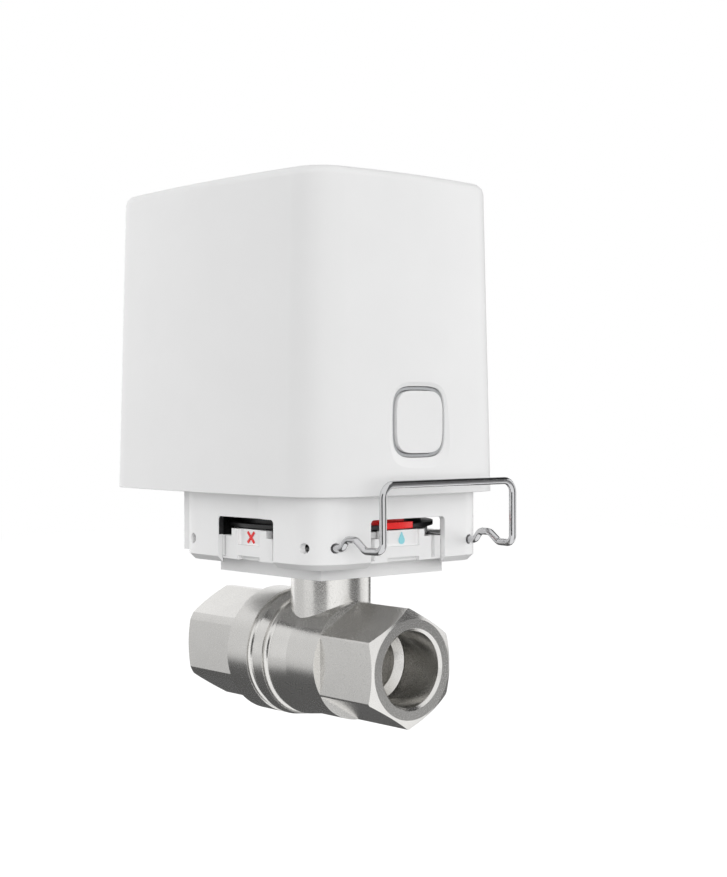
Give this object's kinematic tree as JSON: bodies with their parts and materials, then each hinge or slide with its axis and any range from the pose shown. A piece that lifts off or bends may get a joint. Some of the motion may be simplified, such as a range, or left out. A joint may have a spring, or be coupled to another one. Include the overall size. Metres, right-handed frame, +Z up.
{
  "type": "smart water valve",
  "caption": "Battery-powered motor drive with a push button on a quarter-turn brass ball valve for a half-inch water pipe, held on by a removable wire staple.",
  "frame": {"origin": "where the pipe axis meets the stem axis, at the centre of the ball", "axes": "+X along the pipe out of the near port, on the button's side; +Z up the stem; +Y across"},
  "size_m": [0.1031, 0.0672, 0.1358],
  "materials": {
    "nickel": "nickel-plated, satin, with polished edges",
    "brass": "turned",
    "steel": "zinc-plated",
    "staple_steel": "polished spring wire",
    "rubber": "smooth",
    "ptfe": "turned",
    "casing_white": "fine matte texture",
    "part_white": "moulded, satin",
    "black_plastic": "moulded",
    "signal_red": "moulded",
    "drop_blue": "printed",
    "gear_plastic": "moulded",
    "board_green": "coated",
    "light_guide": "cloudy",
    "cell_sleeve": "sleeved"
  },
  "bodies": {
    "valve_and_drive": {"valve_body": "nickel", "end_connector": "nickel", "battery_contacts": "nickel", "output_bush": "brass", "adapter_screws": "steel", "idler_axle": "steel", "gearbox": "steel", "motor": "steel", "casing_screws": "steel", "chassis_screws": "steel", "cap_screw": "steel", "radio_module": "steel", "body_seal": "rubber", "casing_gasket": "rubber", "near_seat": "ptfe", "far_seat": "ptfe", "casing": "casing_white", "adapter_plate": "part_white", "lower_housing": "part_white", "chassis_plate": "part_white", "limit_switches": "black_plastic", "button_switch": "black_plastic", "battery_holder": "black_plastic", "battery_cap": "black_plastic", "closed_mark": "signal_red", "open_mark": "drop_blue", "control_board": "board_green", "light_ring": "light_guide", "status_leds": "light_guide", "battery_1": "cell_sleeve", "battery_2": "cell_sleeve", "battery_3": "cell_sleeve", "battery_4": "cell_sleeve"},
    "ball_and_pointer": {"ball": "nickel", "stem": "brass", "stem_o_rings": "rubber", "drive_coupling": "part_white", "pointer_drum": "black_plastic", "red_pointer": "signal_red", "output_gear": "gear_plastic"},
    "idler": {"idler_gear": "gear_plastic"},
    "pinion": {"motor_pinion": "steel"},
    "button": {"power_button": "casing_white", "switch_plunger": "part_white"},
    "staple": {"locking_staple": "staple_steel"}
  },
  "joints": [
    {"name": "valve_turn", "type": "hinge", "parent": "valve_and_drive", "child": "ball_and_pointer", "pos_m": [0, 0, 0], "axis": [0, 0, 1], "range_deg": [-90, 0]},
    {"name": "idler_turn", "type": "hinge", "parent": "valve_and_drive", "child": "idler", "pos_m": [-0.024, 0, 0.0505], "axis": [0, 0, 1], "range_deg": [0, 180]},
    {"name": "pinion_turn", "type": "hinge", "parent": "valve_and_drive", "child": "pinion", "pos_m": [-0.0384, 0, 0.0505], "axis": [0, 0, 1], "range_deg": [-225, 0]},
    {"name": "button_press", "type": "slide", "parent": "valve_and_drive", "child": "button", "axis": [-1, 0, 0], "range_m": [0, 0.0008], "stiffness_N_per_m": 400},
    {"name": "staple_pull", "type": "slide", "parent": "valve_and_drive", "child": "staple", "axis": [1, 0, 0], "range_m": [0, 0.07]}
  ],
  "couplings": [
    {"joint": "idler_turn", "follows": "valve_turn", "ratio": -2},
    {"joint": "pinion_turn", "follows": "valve_turn", "ratio": 2.5}
  ]
}
